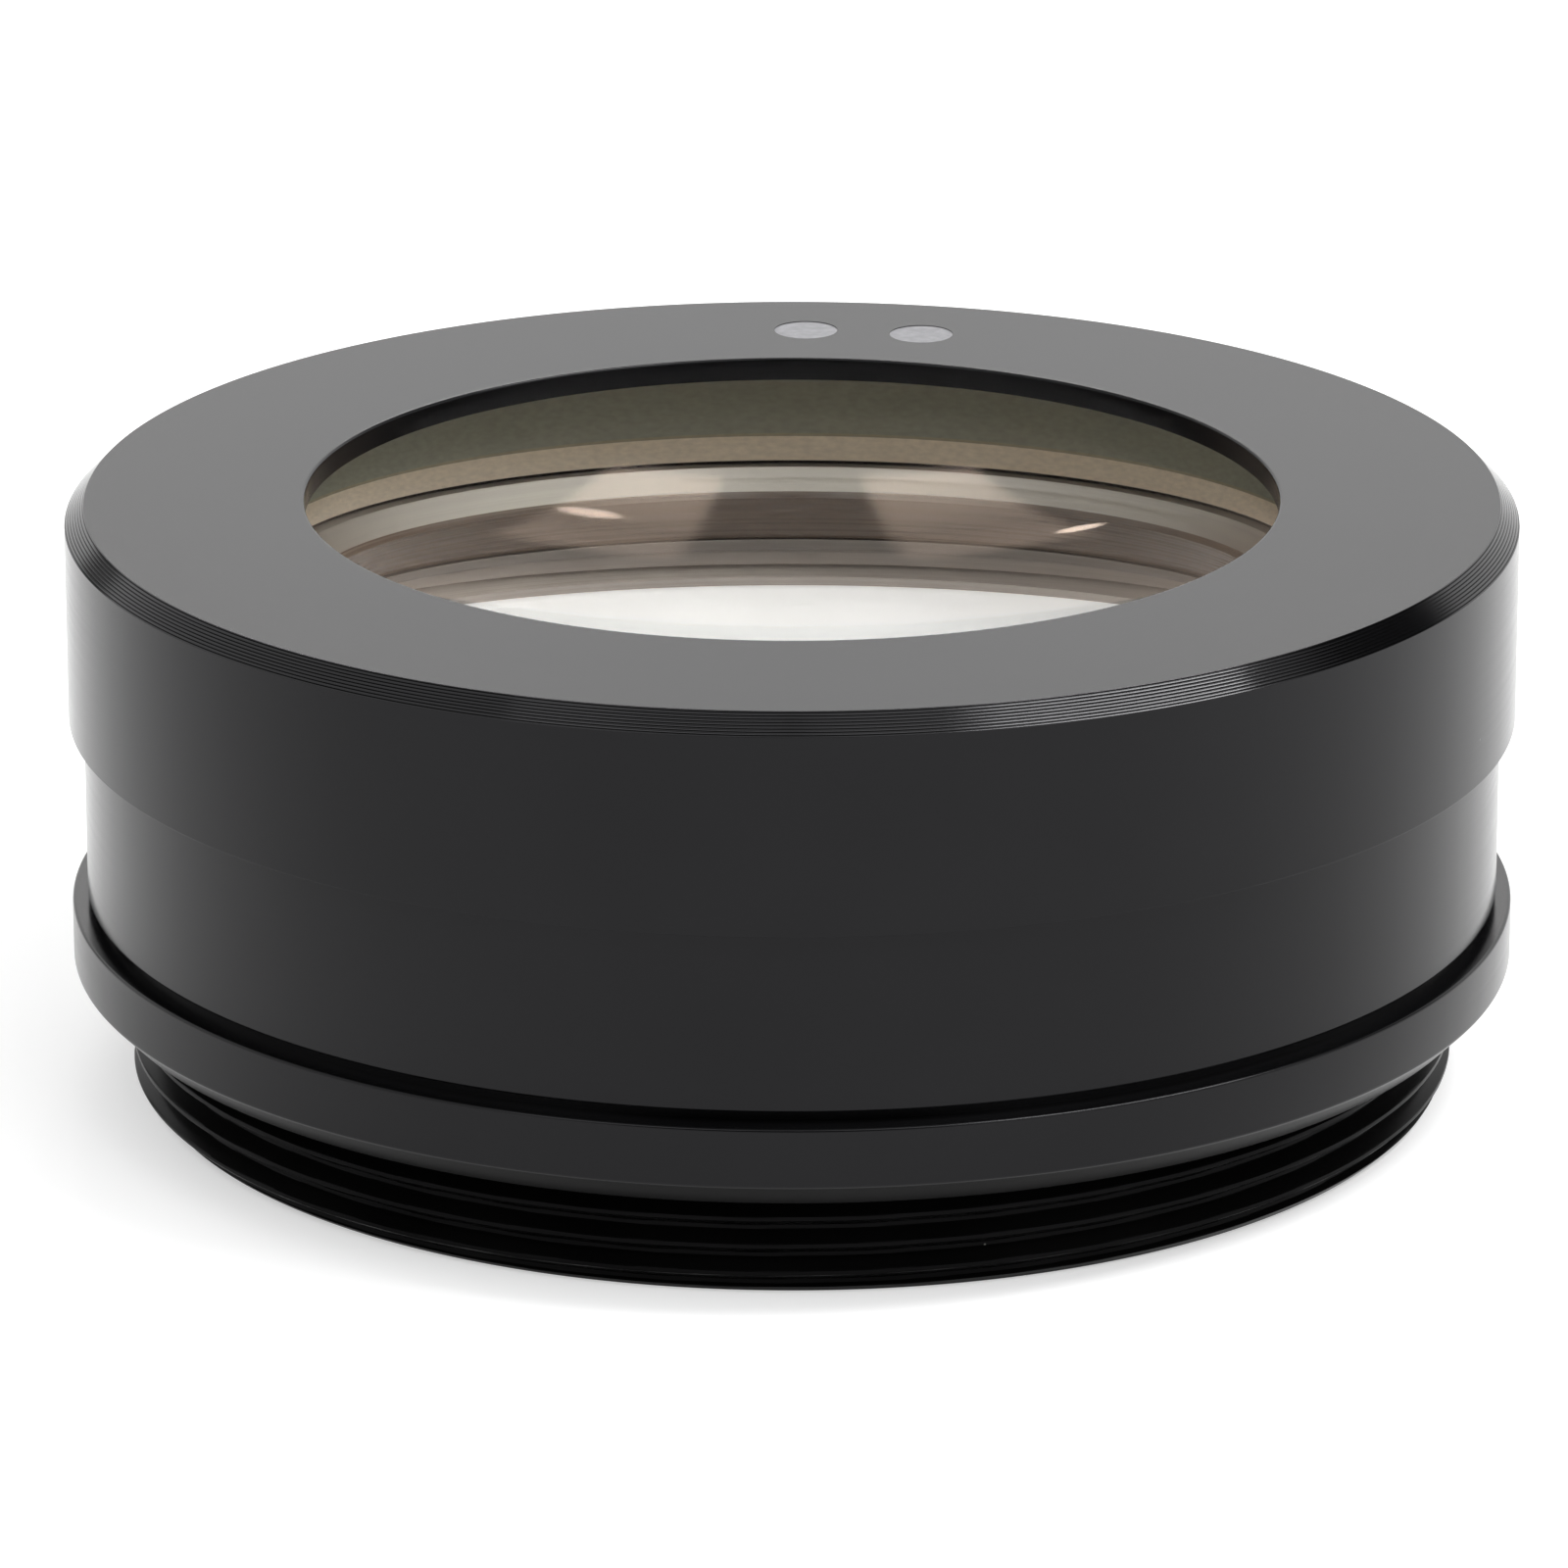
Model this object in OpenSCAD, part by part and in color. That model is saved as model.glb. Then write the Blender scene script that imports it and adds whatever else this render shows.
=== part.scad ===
// Screw-in 2x auxiliary (Barlow) lens for a stereo microscope.
// +Z is the optical axis, from the thread end (z = 0) to the front face. Millimetres.

/* [Outside] */
// Diameter of the front cap and of the mounting flange
cap_d = 52.2; // [51.8:0.1:53]
// Diameter of the barrel below the cap
barrel_d = 51.1; // [50.8:0.1:51.5]
// Height from the thread end to the front face
total_h = 21.6; // [21.4:0.1:22]
// Height of the front cap
cap_h = 7.8; // [7.4:0.1:8]
// Chamfer around the front face
front_chamfer = 0.7; // [0.4:0.1:1]
// Small chamfer that breaks every other outer edge
edge_break = 0.15; // [0.1:0.05:0.2]
// Height of the groove between the barrel and the flange
groove_h = 0.4; // [0.3:0.1:0.6]
// Depth of that groove
groove_depth = 0.45; // [0.3:0.05:0.6]

/* [Front opening] */
// Clear diameter of the front lip
aperture_d = 35; // [34:0.1:36]
// Thickness of the front lip
lip_t = 0.85; // [0.8:0.05:1]
// Diameter of each filled index dot
dot_d = 2.4; // [1.5:0.1:3]
// Distance between the two index dots
dot_pitch = 4.4; // [4:0.1:6]
// Turn of the index dots away from the back, towards +X
dot_turn = 7.3; // [0:0.1:15]
// Depth of the pockets that hold the index dots
dot_depth = 0.2; // [0.1:0.05:0.3]

/* [Mounting thread] */
// Major diameter of the male thread
thread_d = 48; // [47.8:0.1:48.2]
// Distance from one thread crest to the next
thread_pitch = 1; // [0.75:0.25:1]
// Height of the lowest full crest above the thread end
first_crest = 0.86; // [0.8:0.02:0.95]
// Number of full crests
crests = 3; // [2:1:3]
// Height of the flange seat above the thread end
seat_h = 3.9; // [3.9:0.1:4.2]
// Thickness of the flange
flange_h = 3; // [2.8:0.1:3.2]
// Chamfer under the flange
flange_chamfer = 0.9; // [0.5:0.1:0.9]

/* [Optics] */
// Diameter of the cemented front doublet
doublet_d = 43; // [42.8:0.1:43]
// Radius of the hollow front surface
front_r = 60; // [58:1:70]
// Clear radius of the hollow front surface, inside its flat land
front_clear = 18.3; // [18:0.1:18.4]
// Thickness of the front element at its centre
flint_t = 1.9; // [1.5:0.1:2.4]
// Radius of the cemented surface
cement_r = 80; // [64:1:90]
// Thickness of the second element at its edge
crown_edge = 2.5; // [2.3:0.1:2.6]
// Radius of the bulging rear surface of the doublet
crown_r = 60; // [60:1:66]
// Diameter of the rear lens
rear_d = 41.8; // [41.6:0.1:41.8]
// Radius of the rear lens's bulging surface
rear_r = 150; // [140:5:200]
// Thickness of the rear lens at its edge
rear_edge = 1.25; // [1.2:0.05:1.3]

/* [Fits] */
// Gap on the radius between pieces that screw or slide together
fit_gap = 0.1; // [0.05:0.01:0.12]

/* [Hidden] */
$fn = 180;
eps = 0.01;
cap_r = cap_d / 2;
barrel_r = barrel_d / 2;
aperture_r = aperture_d / 2;
doublet_r = doublet_d / 2;
rear_lens_r = rear_d / 2;

// Heights of the outside, from the thread end up
flange_top = seat_h + flange_h;
cap_base = total_h - cap_h;
lip_under = total_h - lip_t;

// The seat washer and the doublet under the lip
washer_t = 0.2;
doublet_top = lip_under - washer_t;
front_sag = front_r - sqrt(front_r * front_r - front_clear * front_clear);
flint_under = doublet_top - front_sag - flint_t;
cement_sag = cement_r - sqrt(cement_r * cement_r - doublet_r * doublet_r);
crown_sag = crown_r - sqrt(crown_r * crown_r - doublet_r * doublet_r);
crown_rim = flint_under - cement_sag - crown_edge;
crown_apex = crown_rim - crown_sag;
lens_bore_r = doublet_r + fit_gap;

// The screwed joint between the cap and the barrel
cap_spigot_r = 23.4;
cap_spigot_h = 2.8;
spigot_relief = 0.2;

// The screwed joint between the barrel and the mount ring
foot_r = 22.9;
foot_h = 2.4;
foot_lip_h = 0.9;
foot_lip_r = 19.4;
ledge_gap = 0.1;
foot_base = flange_top - foot_h;
foot_floor = foot_base + foot_lip_h;

// The spacer reaches from the barrel's inner lip to the rear surface of the doublet, which rests on its cone
spacer_r = 19.7;
spacer_seat_r = 21;
spacer_cone_h = 1.6;
spacer_top = crown_apex + crown_r - sqrt(crown_r * crown_r - spacer_seat_r * spacer_seat_r);

// The rear lens rests against a shoulder in the mount ring and is held by the retaining ring
rear_bore_r = rear_lens_r + fit_gap;
shoulder_r = 19.8;
shoulder_h = 3;
rear_apex = shoulder_h + rear_r * (1 - sqrt(1 - pow(shoulder_r / rear_r, 2)));
rear_rim = rear_apex - rear_r + sqrt(rear_r * rear_r - rear_lens_r * rear_lens_r);
rear_under = rear_rim - rear_edge;
ring_base = 0.3;
ring_bore_r = 18.2;
slot_w = 1.6;
slot_depth = 0.7;

// Thread form: crest and root flats joined by 60 degree flanks
thread_r = thread_d / 2;
thread_depth = 0.6 * thread_pitch;
root_r = thread_r - thread_depth;
crest_flat = 0.15 * thread_pitch;
flank_h = thread_depth * tan(30);
neck_r = 23.2;
seat_inner_r = thread_r + 0.1;
seat_relief = 0.2;
bore_chamfer = 0.4;

// Rim at the thread end, where a chamfer cuts the run-out of the thread
rim_base_r = root_r - 0.05;
rim_r = root_r + 0.15;
rim_h = 0.2;
rim_root_h = 0.28;

// Turned solid from an outline of [radius, height] points
module turned(outline) {
    rotate_extrude() polygon(outline);
}

// Ring with a plain bore
module ring(outer_r, inner_r, base, top) {
    difference() {
        translate([0, 0, base]) cylinder(r = outer_r, h = top - base);
        translate([0, 0, base - eps]) cylinder(r = inner_r, h = top - base + 2 * eps);
    }
}

// Ball whose lowest point, or highest point when the radius is negative, is at the given height
module ball(radius, pole) {
    translate([0, 0, pole + radius]) sphere(r = abs(radius));
}

// Both places of the index dots, on the middle of the front face
module at_dots() {
    dot_r = (aperture_r + cap_r - front_chamfer) / 2;
    step = asin(dot_pitch / 2 / dot_r);
    for (side = [-1, 1])
        rotate([0, 0, 90 - dot_turn + side * step]) translate([dot_r, 0, total_h - dot_depth]) children();
}

// Upper section: lip, seat for the doublet and female screw joint
module front_cap() {
    color("#2b2b2e") difference() {
        turned([
            [aperture_r, lip_under],
            [lens_bore_r, lip_under],
            [lens_bore_r, cap_base + cap_spigot_h + spigot_relief],
            [cap_spigot_r + fit_gap, cap_base + cap_spigot_h + spigot_relief],
            [cap_spigot_r + fit_gap, cap_base],
            [cap_r - edge_break, cap_base],
            [cap_r, cap_base + edge_break],
            [cap_r, total_h - front_chamfer],
            [cap_r - front_chamfer, total_h],
            [aperture_r + edge_break, total_h],
            [aperture_r, total_h - edge_break]
        ]);
        at_dots() cylinder(d = dot_d, h = dot_depth + eps);
    }
}

// Paint that fills the two index pockets, just below the front face
module index_dots() {
    paint_drop = 0.03;
    color("#b9b9bc") at_dots() cylinder(d = dot_d, h = dot_depth - paint_drop);
}

// Thin black washer between the lip and the glass
module seat_washer() {
    color("#141414") ring(doublet_r, front_clear + fit_gap, doublet_top, lip_under);
}

// Front element, hollow on both sides, with a flat land around its front surface
module front_flint_lens() {
    color("#c9d2c4", 0.35) difference() {
        translate([0, 0, crown_rim + crown_edge]) cylinder(r = doublet_r, h = doublet_top - crown_rim - crown_edge);
        ball(front_r, doublet_top - front_sag);
        ball(-cement_r, flint_under);
    }
}

// Second element, bulging on both sides and cemented behind the first
module rear_crown_lens() {
    color("#cfc8b4", 0.35) intersection() {
        translate([0, 0, crown_apex]) cylinder(r = doublet_r, h = flint_under - crown_apex);
        ball(-cement_r, flint_under);
        ball(crown_r, crown_apex);
    }
}

// Bare aluminium ring that carries the doublet, with a cone under the glass
module spacer_ring() {
    color("#b5ab94") turned([
        [spacer_r, foot_floor],
        [doublet_r, foot_floor],
        [doublet_r, spacer_top],
        [spacer_seat_r, spacer_top],
        [spacer_r, spacer_top - spacer_cone_h]
    ]);
}

// Lower body: spigot for the cap, lens bore, groove, and foot that screws into the mount ring
module barrel() {
    color("#2b2b2e") turned([
        [foot_lip_r, foot_base],
        [foot_r, foot_base],
        [foot_r, flange_top],
        [barrel_r - groove_depth, flange_top],
        [barrel_r - groove_depth, flange_top + groove_h],
        [barrel_r - edge_break, flange_top + groove_h],
        [barrel_r, flange_top + groove_h + edge_break],
        [barrel_r, cap_base],
        [cap_spigot_r, cap_base],
        [cap_spigot_r, cap_base + cap_spigot_h],
        [lens_bore_r, cap_base + cap_spigot_h],
        [lens_bore_r, foot_floor],
        [foot_lip_r, foot_floor]
    ]);
}

// Outline of one full crest, from its lower root corner to its upper one
function crest(middle) = [
    [root_r, middle - crest_flat / 2 - flank_h],
    [thread_r, middle - crest_flat / 2],
    [thread_r, middle + crest_flat / 2],
    [root_r, middle + crest_flat / 2 + flank_h]
];

// Flange and male thread, with the shoulder that carries the rear lens
module mount_ring() {
    crest_outline = [for (i = [0 : crests - 1]) each crest(first_crest + i * thread_pitch)];
    last_root = first_crest + (crests - 1) * thread_pitch + crest_flat / 2 + flank_h;
    color("#242427") turned(concat(
        [
            [rear_bore_r + bore_chamfer, 0],
            [rim_base_r, 0],
            [rim_r, rim_h],
            [root_r, rim_root_h]
        ],
        crest_outline,
        [
            [neck_r, last_root + root_r - neck_r],
            [neck_r, seat_h + seat_relief],
            [seat_inner_r, seat_h + seat_relief],
            [seat_inner_r, seat_h],
            [cap_r - flange_chamfer, seat_h],
            [cap_r, seat_h + flange_chamfer],
            [cap_r, flange_top - edge_break],
            [cap_r - edge_break, flange_top],
            [foot_r + fit_gap, flange_top],
            [foot_r + fit_gap, foot_base - ledge_gap],
            [shoulder_r, foot_base - ledge_gap],
            [shoulder_r, shoulder_h],
            [rear_bore_r, shoulder_h],
            [rear_bore_r, bore_chamfer]
        ]
    ));
}

// Thin rear lens, bulging towards the doublet and flat behind
module field_lens() {
    color("#cfd3c8", 0.35) intersection() {
        translate([0, 0, rear_under]) cylinder(r = rear_lens_r, h = rear_apex - rear_under);
        ball(-rear_r, rear_apex);
    }
}

// Threaded ring behind the rear lens, with two slots for a spanner
module retaining_ring() {
    color("#1c1c1e") difference() {
        ring(rear_lens_r, ring_bore_r, ring_base, rear_under);
        for (side = [-1, 1])
            translate([side * (ring_bore_r + rear_lens_r) / 2, 0, ring_base])
                cube([rear_lens_r - ring_bore_r + 1, slot_w, 2 * slot_depth], center = true);
    }
}

front_cap();
index_dots();
seat_washer();
front_flint_lens();
rear_crown_lens();
spacer_ring();
barrel();
mount_ring();
field_lens();
retaining_ring();
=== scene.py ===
import math

import bmesh
import bpy
import numpy as np
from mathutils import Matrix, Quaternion, Vector


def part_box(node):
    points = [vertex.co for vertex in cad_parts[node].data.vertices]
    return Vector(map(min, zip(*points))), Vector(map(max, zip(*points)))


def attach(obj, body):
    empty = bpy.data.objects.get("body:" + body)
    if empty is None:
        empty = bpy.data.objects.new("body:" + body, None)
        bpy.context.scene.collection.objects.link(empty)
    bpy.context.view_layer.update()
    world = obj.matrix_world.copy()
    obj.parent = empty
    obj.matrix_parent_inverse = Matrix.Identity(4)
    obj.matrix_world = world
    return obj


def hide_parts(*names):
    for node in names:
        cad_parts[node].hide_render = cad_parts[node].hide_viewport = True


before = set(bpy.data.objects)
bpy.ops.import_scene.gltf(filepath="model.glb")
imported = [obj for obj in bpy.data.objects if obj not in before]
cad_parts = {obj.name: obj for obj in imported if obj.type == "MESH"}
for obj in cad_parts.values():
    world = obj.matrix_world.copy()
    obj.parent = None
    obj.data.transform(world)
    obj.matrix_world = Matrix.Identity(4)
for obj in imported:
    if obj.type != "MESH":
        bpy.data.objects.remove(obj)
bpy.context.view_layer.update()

MM = 0.001
SEGMENTS = 384
THREAD_SEGMENTS = 720

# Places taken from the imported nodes
CAP_LOW, CAP_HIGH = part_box("front_cap")
BARREL_LOW, BARREL_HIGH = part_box("barrel")
MOUNT_LOW, MOUNT_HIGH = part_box("mount_ring")
FLINT_LOW, FLINT_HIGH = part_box("front_flint_lens")
CROWN_LOW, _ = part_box("rear_crown_lens")
SPACER_LOW, SPACER_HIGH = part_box("spacer_ring")
REAR_LOW, REAR_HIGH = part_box("field_lens")
_, WASHER_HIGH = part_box("seat_washer")
DOTS_LOW, DOTS_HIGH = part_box("index_dots")

CAP_R = CAP_HIGH.x
CAP_BASE = CAP_LOW.z
FRONT_Z = CAP_HIGH.z
BARREL_R = BARREL_HIGH.x
FLANGE_R = MOUNT_HIGH.x
FLANGE_TOP = MOUNT_HIGH.z
DOUBLET_R = FLINT_HIGH.x
DOUBLET_TOP = FLINT_HIGH.z
CROWN_APEX = CROWN_LOW.z
LIP_UNDER = WASHER_HIGH.z
REAR_R = REAR_HIGH.x
REAR_UNDER = REAR_LOW.z
REAR_APEX = REAR_HIGH.z

# Details of the metal parts
APERTURE_R = 17.5 * MM
FRONT_CHAMFER = 0.7 * MM
DOT_R = 1.2 * MM
FIT_GAP = 0.1 * MM
EDGE = 0.12 * MM
SOFT = 0.05 * MM
LENS_BORE_R = DOUBLET_R + FIT_GAP
SPIGOT_R = 23.4 * MM
SPIGOT_H = 2.8 * MM
GROOVE_H = 0.4 * MM
GROOVE_DEPTH = 0.45 * MM
FOOT_R = 22.9 * MM
FOOT_LIP_R = 19.4 * MM
FLANGE_H = 3 * MM
FLANGE_CHAMFER = 0.9 * MM
SEAT_Z = FLANGE_TOP - FLANGE_H
SHOULDER_R = 19.8 * MM
SHOULDER_Z = 3 * MM

# Thread: pitch, crest heights and form
THREAD_R = 24 * MM
PITCH = 1 * MM
THREAD_DEPTH = 0.6 * PITCH
ROOT_R = THREAD_R - THREAD_DEPTH
NECK_R = 23.2 * MM
FIRST_CREST = 0.86 * MM
CREST_FLAT = 0.15 * PITCH
FLANK_H = THREAD_DEPTH * math.tan(math.radians(30))

# Glass surfaces
HOLLOW_R = 60 * MM
HOLLOW_CLEAR = 18.3 * MM
BULGE_R = 60 * MM
REAR_SURFACE_R = 150 * MM
CEMENT_Z = FLINT_LOW.z
SPACER_R = 19.7 * MM
SPACER_SEAT_R = 21 * MM
SPACER_CONE_H = 1.6 * MM
INNER_R = 20.2 * MM

# Black of the anodised outside, as linear grey with a trace of blue
CAP_TONE = (0.0020, 0.0020, 0.0022)
CAP_TONE_LIGHT = (0.0034, 0.0034, 0.0037)


# ---------------------------------------------------------------- mesh helpers

def rounded(corners, steps=6):
    """Outline points from (radius, height, rounding) corners, each corner cut by an arc."""
    points = []
    count = len(corners)
    for i, (r, z, fillet) in enumerate(corners):
        here = Vector((r, z))
        before = Vector(corners[i - 1][:2]) - here
        after = Vector(corners[(i + 1) % count][:2]) - here
        turn = before.angle(after)
        if fillet <= 0 or abs(turn - math.pi) < 0.01:
            points.append((r, z))
            continue
        reach = min(fillet / math.tan(turn / 2), 0.49 * before.length, 0.49 * after.length)
        start = here + before.normalized() * reach
        end = here + after.normalized() * reach
        for k in range(steps + 1):
            t = k / steps
            spot = start * (1 - t) ** 2 + here * 2 * t * (1 - t) + end * t ** 2
            points.append((spot.x, spot.y))
    return points


def arc_rows(radius, pole, start, end, steps):
    """Points on a sphere whose pole is at height pole, from one distance off the axis to another."""
    rows = []
    for k in range(steps + 1):
        r = start + (end - start) * k / steps
        rows.append((r, pole + radius - math.copysign(math.sqrt(radius * radius - r * r), radius)))
    return rows


def lathe(name, outline, segments=SEGMENTS, warp=None):
    """Closed solid turned from an outline of (radius, height) points, which may start and end on the axis."""
    rows = np.array(outline, float)
    r, z = rows[:, 0], rows[:, 1]
    if np.sum(r * np.roll(z, -1) - np.roll(r, -1) * z) < 0:
        rows = rows[::-1]
        r, z = rows[:, 0], rows[:, 1]
    solid = r[0] < 1e-9
    turn = np.linspace(0, 2 * math.pi, segments, endpoint=False)
    radius = np.repeat(r[:, None], segments, 1)
    height = np.repeat(z[:, None], segments, 1)
    if warp:
        radius = warp(radius, height, turn[None, :])
    grid = np.stack([radius * np.cos(turn), radius * np.sin(turn), height], 2)
    count = len(rows)
    points = [tuple(p) for p in grid.reshape(-1, 3)]
    faces = []
    for i in range(count - 1 if solid else count):
        low, high = i * segments, (i + 1) % count * segments
        for j in range(segments):
            k = (j + 1) % segments
            if r[i] < 1e-9:
                faces.append((low, high + k, high + j))
            elif r[(i + 1) % count] < 1e-9:
                faces.append((low + j, low + k, high))
            else:
                faces.append((low + j, low + k, high + k, high + j))
    mesh = bpy.data.meshes.new(name)
    mesh.from_pydata(points, [], faces)
    mesh.update()
    piece = bpy.data.objects.new(name, mesh)
    bpy.context.scene.collection.objects.link(piece)
    drop_loose(mesh)
    smooth(piece)
    return piece


def drop_loose(mesh):
    """Removes the points that no face uses, such as the spare ones at a pole."""
    used = np.zeros(len(mesh.vertices), bool)
    corners = np.zeros(len(mesh.loops), int)
    mesh.loops.foreach_get("vertex_index", corners)
    used[corners] = True
    if used.all():
        return
    work = bmesh.new()
    work.from_mesh(mesh)
    bmesh.ops.delete(work, geom=[v for v in work.verts if not v.link_faces], context="VERTS")
    work.to_mesh(mesh)
    work.free()


def smooth(piece, angle=40):
    """Smooth shading that keeps flat faces flat and real corners sharp."""
    mesh = piece.data
    mesh.polygons.foreach_set("use_smooth", [True] * len(mesh.polygons))
    mesh.set_sharp_from_angle(angle=math.radians(angle))
    weighted = piece.modifiers.new("weighted_normals", "WEIGHTED_NORMAL")
    weighted.keep_sharp = True
    weighted.weight = 100


def finish_piece(piece, material, slot, *nodes):
    """Gives a piece its material, hangs it on the root body and hides the CAD nodes it stands for. The slot
    argument is not used.
    """
    piece.data.materials.append(material)
    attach(piece, "root")
    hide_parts(*nodes)
    return piece


# ---------------------------------------------------------------- material helpers

def node(tree, kind, inputs=None, **settings):
    """A new shader node. Its inputs are sockets to link or plain values, by name or number."""
    made = tree.nodes.new(kind)
    for key, value in settings.items():
        setattr(made, key, value)
    for key, value in (inputs or {}).items():
        if isinstance(value, bpy.types.NodeSocket):
            tree.links.new(value, made.inputs[key])
        else:
            made.inputs[key].default_value = value
    return made


def math_node(tree, operation, a, b=0.0):
    return node(tree, "ShaderNodeMath", {0: a, 1: b}, operation=operation).outputs[0]


def ramp(tree, factor, stops, interpolation="LINEAR"):
    """Colour ramp from (place, grey or colour) stops."""
    made = node(tree, "ShaderNodeValToRGB", {0: factor})
    band = made.color_ramp
    band.interpolation = interpolation
    while len(band.elements) < len(stops):
        band.elements.new(1.0)
    for element, (place, tone) in zip(band.elements, stops):
        element.position = place
        element.color = (*((tone,) * 3 if isinstance(tone, (int, float)) else tone), 1)
    return made.outputs[0]


def blank_material(name):
    """A new material's node tree and its Principled shader."""
    material = bpy.data.materials.new(name)
    material.use_nodes = True
    return material, material.node_tree, material.node_tree.nodes["Principled BSDF"]


def position(tree):
    return node(tree, "ShaderNodeTexCoord").outputs["Object"]


def turned_noise(tree, across, around, detail=2.0):
    """Noise along the tool's path: fine over radius and height (across), slow round the axis (around)."""
    place = node(tree, "ShaderNodeSeparateXYZ", {0: position(tree)})
    x, y, z = place.outputs
    squares = math_node(tree, "ADD", math_node(tree, "MULTIPLY", x, x), math_node(tree, "MULTIPLY", y, y))
    radius = math_node(tree, "SQRT", squares)
    path = node(tree, "ShaderNodeCombineXYZ", {
        0: math_node(tree, "MULTIPLY", x, around),
        1: math_node(tree, "MULTIPLY", y, around),
        2: math_node(tree, "MULTIPLY", radius, across),
    }).outputs[0]
    noise = node(tree, "ShaderNodeTexNoise", {
        "Vector": path, "W": math_node(tree, "MULTIPLY", z, across), "Scale": 1.0, "Detail": detail,
    }, noise_dimensions="4D")
    return noise.outputs[0]


def grain(tree, scale, detail=2.0):
    """Even noise, scale features to the metre."""
    return node(tree, "ShaderNodeTexNoise", {
        "Vector": position(tree), "Scale": scale, "Detail": detail,
    }).outputs[0]


def specks(tree, spacing, size, share):
    """Mask of sparse dust specks: one cell in so many holds a speck of the given size."""
    cells = node(tree, "ShaderNodeTexVoronoi", {"Vector": position(tree), "Scale": 1 / spacing})
    near = math_node(tree, "LESS_THAN", cells.outputs["Distance"], size / spacing)
    pick = node(tree, "ShaderNodeSeparateColor", {0: cells.outputs["Color"]}).outputs[0]
    return math_node(tree, "MULTIPLY", near, math_node(tree, "LESS_THAN", pick, share))


def mapped(tree, value, low, high, from_low=0.3, from_high=0.7):
    """A noise value mapped onto a range."""
    return node(tree, "ShaderNodeMapRange", {
        0: value, 1: from_low, 2: from_high, 3: low, 4: high,
    }).outputs[0]


# ---------------------------------------------------------------- materials

def anodised(name, dark, light, rough, lines, grit, ior=1.275, spread=0.02):
    """Black anodised aluminium: satin, with turning lines, fine grit and a little dust."""
    material, tree, shader = blank_material(name)
    turning = turned_noise(tree, 9000, 30)
    cloud = grain(tree, 120)
    tone = ramp(tree, cloud, [(0.3, dark), (0.7, light)])
    dust = specks(tree, 2.2 * MM, 0.05 * MM, 0.06)
    base = node(tree, "ShaderNodeMix", {0: dust, 6: tone, 7: (0.12, 0.118, 0.112, 1)}, data_type="RGBA")
    tree.links.new(base.outputs[2], shader.inputs["Base Color"])
    tree.links.new(mapped(tree, turning, rough - spread, rough + spread), shader.inputs["Roughness"])
    height = math_node(tree, "ADD", math_node(tree, "MULTIPLY", turning, lines),
                       math_node(tree, "MULTIPLY", grain(tree, 14000), grit))
    bump = node(tree, "ShaderNodeBump", {"Strength": 1.0, "Distance": MM, "Height": height})
    tree.links.new(bump.outputs[0], shader.inputs["Normal"])
    shader.inputs["IOR"].default_value = ior
    shader.inputs["Specular Tint"].default_value = (0.97, 0.965, 1, 1)
    return material


def polished_glass(name, tint, ior, coating=2.2, sheen=(0.98, 0.98, 1.0)):
    """Polished optical glass. A coating weakens its mirror image, except at grazing and total reflection."""
    material, tree, shader = blank_material(name)
    tree.nodes.remove(shader)
    cloud = grain(tree, 90)
    tone = ramp(tree, cloud, [(0.3, tint), (0.7, tuple(min(1, c * 1.01) for c in tint))])
    bent = node(tree, "ShaderNodeBsdfRefraction", {"Color": tone, "Roughness": 0.0, "IOR": ior})
    mirror = node(tree, "ShaderNodeBsdfAnisotropic", {"Color": (*sheen, 1), "Roughness": 0.0})
    share = math_node(tree, "POWER", node(tree, "ShaderNodeFresnel", {"IOR": ior}).outputs[0], coating)
    mixed = node(tree, "ShaderNodeMixShader", {0: share, 1: bent.outputs[0], 2: mirror.outputs[0]})
    tree.links.new(mixed.outputs[0], tree.nodes["Material Output"].inputs["Surface"])
    return material


def ground_edge(name):
    """Ground rim of the doublet: olive front element, dark cement line, beige second element."""
    material, tree, shader = blank_material(name)
    height = node(tree, "ShaderNodeSeparateXYZ", {0: position(tree)}).outputs[2]
    along = node(tree, "ShaderNodeMapRange", {0: height, 1: CROWN_APEX, 2: DOUBLET_TOP}).outputs[0]
    seam = (CEMENT_Z - CROWN_APEX) / (DOUBLET_TOP - CROWN_APEX)
    bands = ramp(tree, along, [
        (0.0, (0.86, 0.76, 0.60)),
        (seam - 0.006, (0.42, 0.38, 0.27)),
        (seam + 0.012, (0.35, 0.357, 0.285)),
    ], "CONSTANT")
    mottle = mapped(tree, grain(tree, 2500, 3), 0.9, 1.06)
    tone = node(tree, "ShaderNodeMix", {0: 1.0, 6: bands, 7: mottle}, data_type="RGBA", blend_type="MULTIPLY")
    tree.links.new(tone.outputs[2], shader.inputs["Base Color"])
    shader.inputs["Roughness"].default_value = 0.9
    return material


def bare_aluminium(name):
    """Turned bare aluminium, slightly warm."""
    material, tree, shader = blank_material(name)
    turning = turned_noise(tree, 7000, 20)
    tone = ramp(tree, turning, [(0.3, (0.33, 0.31, 0.28)), (0.7, (0.42, 0.395, 0.35))])
    tree.links.new(tone, shader.inputs["Base Color"])
    tree.links.new(mapped(tree, turning, 0.42, 0.6), shader.inputs["Roughness"])
    bump = node(tree, "ShaderNodeBump", {"Strength": 1.0, "Distance": MM,
                                         "Height": math_node(tree, "MULTIPLY", turning, 0.004)})
    tree.links.new(bump.outputs[0], shader.inputs["Normal"])
    shader.inputs["Metallic"].default_value = 1.0
    return material


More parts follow.
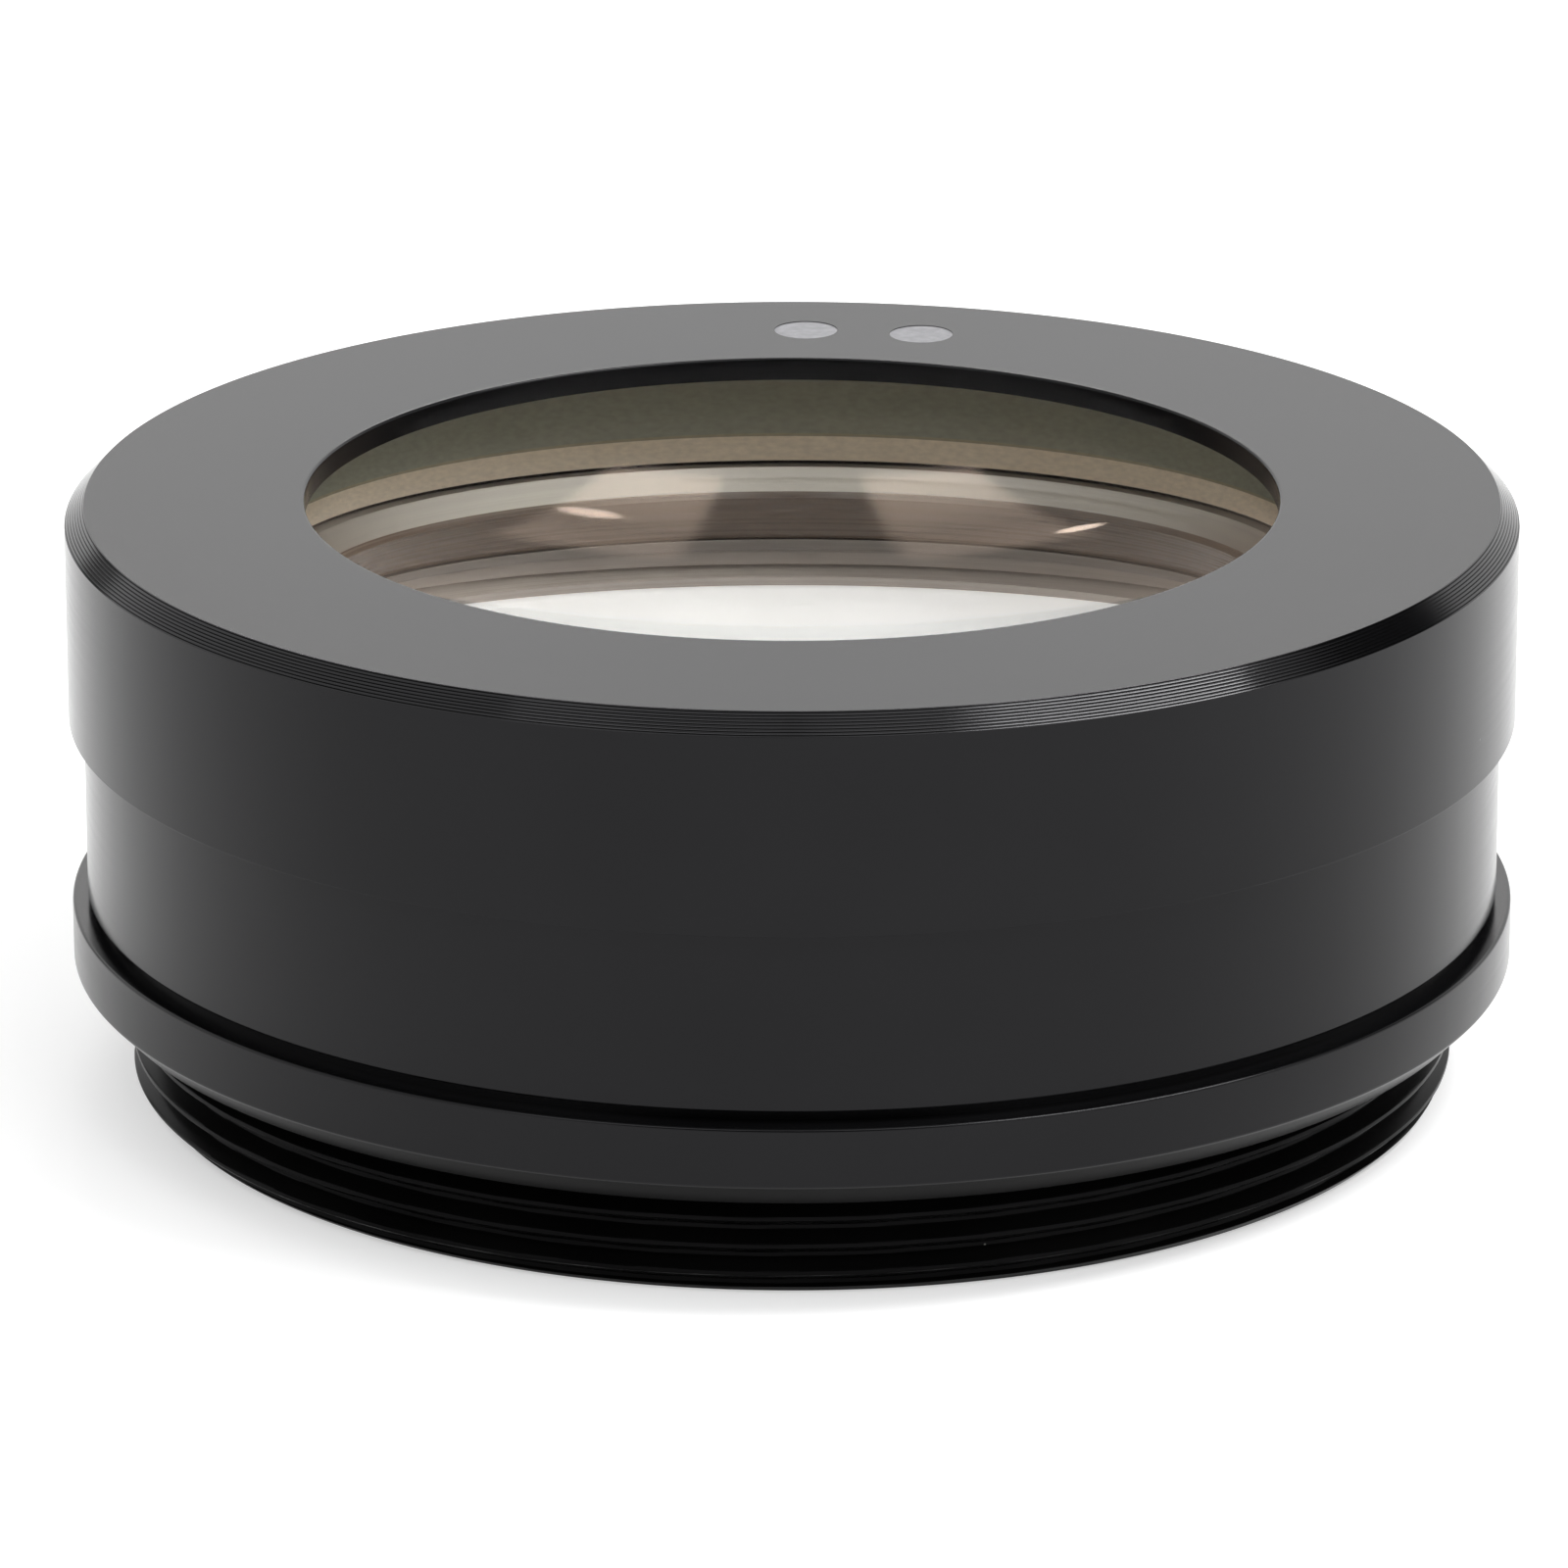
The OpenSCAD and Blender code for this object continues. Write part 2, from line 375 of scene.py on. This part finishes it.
def inner_wall(name, share=1.0):
    """Dull grey-brown inner walls behind the doublet, darkened to a share of their tone."""
    material, tree, shader = blank_material(name)
    turning = turned_noise(tree, 7000, 20)
    dark, light = (tuple(share * c for c in tone) for tone in ((0.34, 0.30, 0.27), (0.42, 0.38, 0.34)))
    tone = ramp(tree, turning, [(0.3, dark), (0.7, light)])
    tree.links.new(tone, shader.inputs["Base Color"])
    tree.links.new(mapped(tree, turning, 0.4, 0.55), shader.inputs["Roughness"])
    return material


def brown_wall(name):
    """Inside of the spacer: dark brown, half glossy, with turning lines."""
    material, tree, shader = blank_material(name)
    turning = turned_noise(tree, 5000, 20)
    tone = ramp(tree, turning, [(0.3, (0.08, 0.054, 0.035)), (0.7, (0.12, 0.083, 0.056))])
    tree.links.new(tone, shader.inputs["Base Color"])
    tree.links.new(mapped(tree, turning, 0.22, 0.34), shader.inputs["Roughness"])
    return material


def mark_paint(name):
    """Pale grey filling paint, slightly uneven."""
    material, tree, shader = blank_material(name)
    tone = ramp(tree, grain(tree, 3000, 3), [(0.3, (0.17, 0.17, 0.18)), (0.7, (0.23, 0.23, 0.242))])
    tree.links.new(tone, shader.inputs["Base Color"])
    shader.inputs["Roughness"].default_value = 0.6
    bump = node(tree, "ShaderNodeBump", {"Strength": 1.0, "Distance": MM,
                                         "Height": math_node(tree, "MULTIPLY", grain(tree, 5000), 0.01)})
    tree.links.new(bump.outputs[0], shader.inputs["Normal"])
    return material


def matte_black(name):
    """Black plastic film of the washer."""
    material, tree, shader = blank_material(name)
    tone = ramp(tree, grain(tree, 1500), [(0.3, 0.008), (0.7, 0.014)])
    tree.links.new(tone, shader.inputs["Base Color"])
    tree.links.new(mapped(tree, grain(tree, 4000), 0.5, 0.65), shader.inputs["Roughness"])
    return material


# ---------------------------------------------------------------- pieces

def front_cap():
    """Upper section with its lip, turned chamfer with painted shade in its grooves, and the two pockets of
    the index dots.
    """
    lines = 8
    line_depth = 0.006 * MM
    corner_low = Vector((CAP_R, FRONT_Z - FRONT_CHAMFER))
    corner_high = Vector((CAP_R - FRONT_CHAMFER, FRONT_Z))
    outward = Vector((1, 1)).normalized()
    steps = lines * 8
    turned_chamfer = []
    for k in range(2, steps - 1):
        t = k / steps
        dip = line_depth * (0.5 - 0.5 * math.cos(2 * math.pi * t * lines))
        spot = corner_low.lerp(corner_high, t) - outward * dip
        turned_chamfer.append((spot.x, spot.y, 0))
    corners = [
        (APERTURE_R, LIP_UNDER, SOFT),
        (LENS_BORE_R, LIP_UNDER, 0),
        (LENS_BORE_R, CAP_BASE + SPIGOT_H + 0.2 * MM, 0),
        (SPIGOT_R + FIT_GAP, CAP_BASE + SPIGOT_H + 0.2 * MM, 0),
        (SPIGOT_R + FIT_GAP, CAP_BASE, 0),
        (CAP_R, CAP_BASE, 0.03 * MM),
        (corner_low.x, corner_low.y, 0.06 * MM),
        *turned_chamfer,
        (corner_high.x, corner_high.y, SOFT),
        (corner_high.x - 0.5 * MM, FRONT_Z, 0),
        (APERTURE_R + 0.5 * MM, FRONT_Z, 0),
        (APERTURE_R, FRONT_Z, EDGE),
    ]
    piece = lathe("cap_body", rounded(corners))
    cut_pockets(piece)
    finish_piece(piece, anodised("cap_anodised", CAP_TONE, CAP_TONE_LIGHT, 0.18, 0.00008, 0.0004),
                 "cap_anodised", "front_cap")
    paint_faces(piece, anodised("chamfer_cut", CAP_TONE, CAP_TONE_LIGHT, 0.10, 0.00015, 0.0, 1.4),
                lambda r, z, up: r > corner_high.x and z > corner_low.y)
    # Painted shade: the faces at the bottom of each turned groove get a darker, weakly reflecting copy of the
    # anodising, so the grooves read as dark lines.
    paint_faces(piece, anodised("chamfer_groove_painted_shade", 0.0008, 0.0015, 0.16, 0.00015, 0.0, 1.1),
                lambda r, z, up: r > corner_high.x and z > corner_low.y
                and math.cos(2 * math.pi * lines * (z - corner_low.y) / FRONT_CHAMFER) < -0.2)
    return piece


def paint_faces(piece, material, chosen):
    """Gives a piece a second material on the faces that chosen(radius, height, slope) picks."""
    piece.data.materials.append(material)
    index = len(piece.data.materials) - 1
    for face in piece.data.polygons:
        if chosen(math.hypot(face.center.x, face.center.y), face.center.z, face.normal.z):
            face.material_index = index


def cut_pockets(piece):
    """Round pockets in the front face, one round each filled dot. The flat faces there are shaded flat."""
    for i, spot in enumerate(dot_centres()):
        cutter = lathe(f"pocket_{i}", rounded([
            (0, DOTS_LOW.z, 0),
            (DOT_R, DOTS_LOW.z, 0.02 * MM),
            (DOT_R, FRONT_Z + MM, 0),
            (0, FRONT_Z + MM, 0),
        ]), 64)
        cutter.location = (spot.x, spot.y, 0)
        cut = piece.modifiers.new("pocket", "BOOLEAN")
        cut.object = cutter
        cut.operation = "DIFFERENCE"
        cut.solver = "EXACT"
        piece.modifiers.move(len(piece.modifiers) - 1, 0)
        apply_modifier(piece, "pocket")
        bpy.data.objects.remove(cutter)
    for face in piece.data.polygons:
        if face.normal.z > 0.9999:
            face.use_smooth = False


def dot_centres():
    """Centres of the two filled dots, from the corners of their node."""
    points = np.array([v.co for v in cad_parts["index_dots"].data.vertices])[:, :2]
    split = (DOTS_LOW.x + DOTS_HIGH.x) / 2
    sides = (points[points[:, 0] < split], points[points[:, 0] > split])
    return [Vector((side.min(0) + side.max(0)) / 2) for side in sides]


def apply_modifier(piece, name):
    with bpy.context.temp_override(object=piece, active_object=piece, selected_objects=[piece]):
        bpy.ops.object.modifier_apply(modifier=name)


def barrel():
    """Lower body: spigot, bore, groove and the foot inside the mount ring."""
    foot_base = BARREL_LOW.z
    foot_floor = SPACER_LOW.z
    groove_r = BARREL_R - GROOVE_DEPTH
    corners = [
        (FOOT_LIP_R, foot_base, SOFT),
        (FOOT_R, foot_base, 0),
        (FOOT_R, FLANGE_TOP, 0),
        (groove_r, FLANGE_TOP, 0),
        (groove_r, FLANGE_TOP + GROOVE_H, SOFT),
        (BARREL_R, FLANGE_TOP + GROOVE_H, EDGE),
        (BARREL_R, CAP_BASE, 0),
        (SPIGOT_R, CAP_BASE, 0),
        (SPIGOT_R, BARREL_HIGH.z, 0),
        (LENS_BORE_R, BARREL_HIGH.z, 0),
        (LENS_BORE_R, foot_floor, 0),
        (FOOT_LIP_R, foot_floor, SOFT),
    ]
    piece = lathe("barrel_body", rounded(corners))
    finish_piece(piece, anodised("barrel_anodised", CAP_TONE, CAP_TONE_LIGHT, 0.18, 0.00015, 0.0004),
                 "barrel_anodised", "barrel")
    paint_faces(piece, inner_wall("barrel_lip", 0.5), lambda r, z, up: r < INNER_R)
    return piece


def thread_radius(radius, height, turn):
    """Radius of the right-hand thread at each point: chamfered below, run out into the neck above."""
    front = -math.pi / 2
    rise = (height - FIRST_CREST) / PITCH - (turn - front) / (2 * math.pi)
    off = np.abs(rise - np.round(rise)) * PITCH
    share = np.clip((CREST_FLAT / 2 + FLANK_H - off) / FLANK_H, 0, 1)
    form = ROOT_R + THREAD_DEPTH * share
    lead = ROOT_R - 0.05 * MM + height
    relief = NECK_R + np.maximum(0, 3.48 * MM - height) * 2
    form = np.minimum(np.minimum(form, lead), relief)
    return np.where(radius > THREAD_R - 1e-6, np.where(height < SEAT_Z + 1e-6, form, radius), radius)


def mount_ring():
    """Flange and male thread, with the shoulder behind the rear lens. The thread and the flange's underside
    carry painted shade.
    """
    foot_base = BARREL_LOW.z
    rear_bore_r = REAR_R + FIT_GAP
    thread_top = SEAT_Z - 0.3 * MM
    steps = 130
    thread_rows = [(THREAD_R, thread_top * k / steps) for k in range(steps + 1)]
    upper = rounded([
        (THREAD_R, thread_top, 0),
        (NECK_R, thread_top, 0),
        (NECK_R, SEAT_Z + 0.2 * MM, 0),
        (THREAD_R + 0.1 * MM, SEAT_Z + 0.2 * MM, 0),
        (THREAD_R + 0.1 * MM, SEAT_Z, 0.03 * MM),
        (FLANGE_R - FLANGE_CHAMFER, SEAT_Z, SOFT),
        (FLANGE_R, SEAT_Z + FLANGE_CHAMFER, 0.2 * MM),
        (FLANGE_R, FLANGE_TOP, EDGE),
        (FOOT_R + FIT_GAP, FLANGE_TOP, SOFT),
        (FOOT_R + FIT_GAP, foot_base - 0.1 * MM, 0),
        (SHOULDER_R, foot_base - 0.1 * MM, SOFT),
        (SHOULDER_R, SHOULDER_Z, 0),
        (rear_bore_r, SHOULDER_Z, 0),
        (rear_bore_r, 0.4 * MM, 0),
        (rear_bore_r + 0.4 * MM, 0, SOFT),
    ])[2:]
    piece = lathe("mount_body", thread_rows + upper, THREAD_SEGMENTS, thread_radius)
    finish_piece(piece, anodised("mount_anodised", CAP_TONE, CAP_TONE_LIGHT, 0.18, 0.00012, 0.0004),
                 "mount_anodised", "mount_ring")
    # Painted shade: the thread, the neck and the flange's underside and lower chamfer get a darker, weakly
    # reflecting copy of the anodising, for the shade under the object near the floor.
    paint_faces(piece, anodised("thread_painted_shade", 0.0015, 0.003, 0.25, 0.0001, 0.0002, 1.12),
                lambda r, z, up: z < SEAT_Z + FLANGE_CHAMFER - SOFT and r > NECK_R - 0.1 * MM)
    paint_faces(piece, inner_wall("mount_shoulder"), lambda r, z, up: r < INNER_R)
    return piece


def doublet():
    """The cemented doublet as one closed glass: hollow front, ground rim, bulging back."""
    front_sag = HOLLOW_R - math.sqrt(HOLLOW_R ** 2 - HOLLOW_CLEAR ** 2)
    back = arc_rows(BULGE_R, CROWN_APEX, 0, DOUBLET_R, 60)
    front = arc_rows(HOLLOW_R, DOUBLET_TOP - front_sag, HOLLOW_CLEAR, 0, 60)
    rim = [(DOUBLET_R, CEMENT_Z), (DOUBLET_R, DOUBLET_TOP)]
    piece = lathe("doublet_glass", back + rim + front)
    finish_piece(piece, polished_glass("front_glass", (0.995, 0.995, 0.985), 1.6), "front_glass",
                 "front_flint_lens", "rear_crown_lens")
    paint_faces(piece, ground_edge("ground_edge"), lambda r, z, up: abs(up) < 0.1)
    paint_faces(piece, polished_glass("front_coating", (0.995, 0.995, 0.985), 1.6, 2.2, (1.0, 0.8, 0.66)),
                lambda r, z, up: up >= 0.1)
    return piece


def spacer():
    """Bare ring that carries the doublet on its cone."""
    cone_top = Vector((SPACER_SEAT_R, SPACER_HIGH.z))
    cone_foot = Vector((SPACER_R, SPACER_HIGH.z - SPACER_CONE_H))
    # The brown of the inside reaches this far up the cone.
    brown_edge = cone_top.lerp(cone_foot, 0.78)
    corners = [
        (SPACER_HIGH.x, SPACER_LOW.z, SOFT),
        (SPACER_HIGH.x, SPACER_HIGH.z, SOFT),
        (cone_top.x, cone_top.y, SOFT),
        (brown_edge.x, brown_edge.y, 0),
        (cone_foot.x, cone_foot.y, SOFT),
        (SPACER_R, SPACER_LOW.z, SOFT),
    ]
    piece = lathe("spacer_body", rounded(corners))
    finish_piece(piece, bare_aluminium("bare_aluminium"), "bare_aluminium", "spacer_ring")
    paint_faces(piece, brown_wall("spacer_wall"), lambda r, z, up: r < brown_edge.x)
    return piece


def rear_lens():
    """Thin rear lens: bulging towards the doublet, flat behind."""
    bulge = arc_rows(-REAR_SURFACE_R, REAR_APEX, REAR_R, 0, 40)
    flat = [(REAR_R * k / 20, REAR_UNDER + 0.03 * MM) for k in range(21)]
    piece = lathe("field_glass", flat + bulge)
    finish_piece(piece, polished_glass("rear_glass", (0.995, 0.995, 0.99), 1.52), "rear_glass", "field_lens")
    paint_faces(piece, ground_edge("rear_edge"), lambda r, z, up: abs(up) < 0.1)
    return piece


def dress_cad_nodes():
    """Better materials on the CAD nodes that stay."""
    for name, material in {
        "index_dots": mark_paint("mark_paint"),
        "seat_washer": matte_black("washer_plastic"),
        "retaining_ring": inner_wall("ring_anodised"),
    }.items():
        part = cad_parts[name]
        for slot in part.material_slots:
            slot.material = material


# ---------------------------------------------------------------- stage, light and camera

def floor():
    """Plain pale floor under the object."""
    half = 4.0
    mesh = bpy.data.meshes.new("floor")
    corners = [(-half, -half, 0), (half, -half, 0), (half, half, 0), (-half, half, 0)]
    mesh.from_pydata(corners, [], [(0, 1, 2, 3)])
    plane = bpy.data.objects.new("floor", mesh)
    plane.location.z = -0.02 * MM
    bpy.context.scene.collection.objects.link(plane)
    material, tree, shader = blank_material("floor_paper")
    tone = ramp(tree, grain(tree, 40), [(0.3, 0.7), (0.7, 0.71)])
    tree.links.new(tone, shader.inputs["Base Color"])
    shader.inputs["Emission Color"].default_value = (1, 1, 1, 1)
    shader.inputs["Emission Strength"].default_value = 0.4
    shader.inputs["Roughness"].default_value = 1.0
    shader.inputs["Specular IOR Level"].default_value = 0.0
    mesh.materials.append(material)


def softbox(name, direction, distance, size, radiance, spin=0):
    """Area light (width, height) of a given radiance that faces the object, turned by spin degrees."""
    light = bpy.data.lights.new(name, "AREA")
    light.shape = "RECTANGLE"
    light.size, light.size_y = size
    light.energy = radiance * math.pi * size[0] * size[1]
    lamp = bpy.data.objects.new(name, light)
    towards = Vector(direction).normalized()
    lamp.location = towards * distance
    lamp.rotation_mode = "QUATERNION"
    lamp.rotation_quaternion = towards.to_track_quat("Z", "Y") @ Quaternion((0, 0, 1), math.radians(spin))
    bpy.context.scene.collection.objects.link(lamp)


def around(azimuth, elevation):
    """Direction so many degrees to the right of the object's front, at an elevation."""
    a, e = math.radians(azimuth), math.radians(elevation)
    return (math.sin(a) * math.cos(e), -math.cos(a) * math.cos(e), math.sin(e))


def facing(tree, direction, towards, near, far):
    """1 within an angle (near, degrees) of a direction and 0 beyond another (far)."""
    aim = Vector(towards).normalized()
    dot = node(tree, "ShaderNodeVectorMath", {0: direction, 1: aim}, operation="DOT_PRODUCT")
    return node(tree, "ShaderNodeMapRange", {
        0: dot.outputs["Value"], 1: math.cos(math.radians(far)), 2: math.cos(math.radians(near)),
    }, interpolation_type="SMOOTHSTEP").outputs[0]


def band(tree, value, low, high, soft):
    """1 where a value lies between low and high, falling to 0 over a soft edge."""
    rise = node(tree, "ShaderNodeMapRange", {
        0: value, 1: low - soft, 2: low + soft,
    }, interpolation_type="SMOOTHSTEP")
    fall = node(tree, "ShaderNodeMapRange", {
        0: value, 1: high - soft, 2: high + soft, 3: 1.0, 4: 0.0,
    }, interpolation_type="SMOOTHSTEP")
    return math_node(tree, "MULTIPLY", rise.outputs[0], fall.outputs[0])


def back_panels(tree, direction):
    """Light of two narrow warm panels behind the object, left and right of a gap, each with a small lamp."""
    x, y, z = node(tree, "ShaderNodeSeparateXYZ", {0: direction}).outputs
    aside = math_node(tree, "DIVIDE", math_node(tree, "ABSOLUTE", x), math_node(tree, "MAXIMUM", y, 0.01))
    across = band(tree, aside, 0.042, 0.11, 0.006)
    panel = math_node(tree, "MULTIPLY", across, band(tree, z, 0.41, 0.62, 0.02))
    glow = math_node(tree, "MULTIPLY", panel, mapped(tree, z, 4.0, 15.0, 0.48, 0.6))
    light = node(tree, "ShaderNodeMix", {0: 1.0, 6: glow, 7: (1.0, 0.97, 0.94, 1)},
                 data_type="RGBA", blend_type="MULTIPLY").outputs[2]
    for towards, size in [((0.08, 0.86, 0.51), 0.9), ((-0.10, 0.90, 0.43), 0.6)]:
        lamp = math_node(tree, "MULTIPLY", facing(tree, direction, towards, 0.2, size), 32)
        light = node(tree, "ShaderNodeMix", {0: 1.0, 6: light, 7: lamp},
                     data_type="RGBA", blend_type="ADD").outputs[2]
    return light


def world_light():
    """White studio walls all round, with the gaps between the wall panels a little darker."""
    world = bpy.data.worlds.new("studio")
    bpy.context.scene.world = world
    world.use_nodes = True
    tree = world.node_tree
    direction = node(tree, "ShaderNodeTexCoord").outputs["Generated"]
    height = node(tree, "ShaderNodeSeparateXYZ", {0: direction}).outputs[2]
    tone = ramp(tree, height, [(0.0, 1.0), (0.22, 1.0), (0.28, 1.08), (0.36, 1.05), (0.5, 0.75), (1.0, 0.85)])
    gaps = [
        ((0, -1, 0.36), 12, 34, 1.0),
        ((-0.18, -0.285, 0.94), 3, 10, 0.95),
        ((-0.56, 0.78, 0.27), 2, 8, 0.9),
        ((0.70, 0.45, 0.55), 9, 18, 1.0),
    ]
    for towards, near, far, depth in gaps:
        kept = math_node(tree, "SUBTRACT", 1.0, math_node(tree, "MULTIPLY", facing(
            tree, direction, towards, near, far), depth))
        tone = node(tree, "ShaderNodeMix", {0: 1.0, 6: tone, 7: kept},
                    data_type="RGBA", blend_type="MULTIPLY").outputs[2]
    tone = node(tree, "ShaderNodeMix", {0: 1.0, 6: tone, 7: back_panels(tree, direction)},
                data_type="RGBA", blend_type="ADD").outputs[2]
    background = tree.nodes["Background"]
    tree.links.new(tone, background.inputs["Color"])
    background.inputs["Strength"].default_value = 1.25


def camera():
    """Long lens at the product shot's angle, level with the frame's left and right edges."""
    distance = 357 * MM
    rise = math.radians(16.75)
    pitch = math.radians(18.43)
    yaw = math.radians(-0.048)
    focal_pixels = 10138
    image_width = 1600
    data = bpy.data.cameras.new("camera")
    data.sensor_width = 36
    data.lens = focal_pixels / image_width * data.sensor_width
    data.clip_start = 0.01
    data.clip_end = 20
    view = bpy.data.objects.new("camera", data)
    view.location = (0, -distance * math.cos(rise), FRONT_Z + distance * math.sin(rise))
    view.rotation_euler = (math.pi / 2 - pitch, 0, -yaw)
    bpy.context.scene.collection.objects.link(view)
    bpy.context.scene.camera = view


front_cap()
barrel()
mount_ring()
doublet()
spacer()
rear_lens()
dress_cad_nodes()
floor()
world_light()
softbox("overhead", (0.49, -0.06, 0.87), 0.6, (0.32, 0.13), 18, -41)
softbox("front_left", around(-31, 50), 0.7, (0.4, 0.26), 2.0)
softbox("front_right", around(31, 50), 0.7, (0.4, 0.26), 2.0)
camera()
bpy.context.scene.view_settings.view_transform = "Standard"
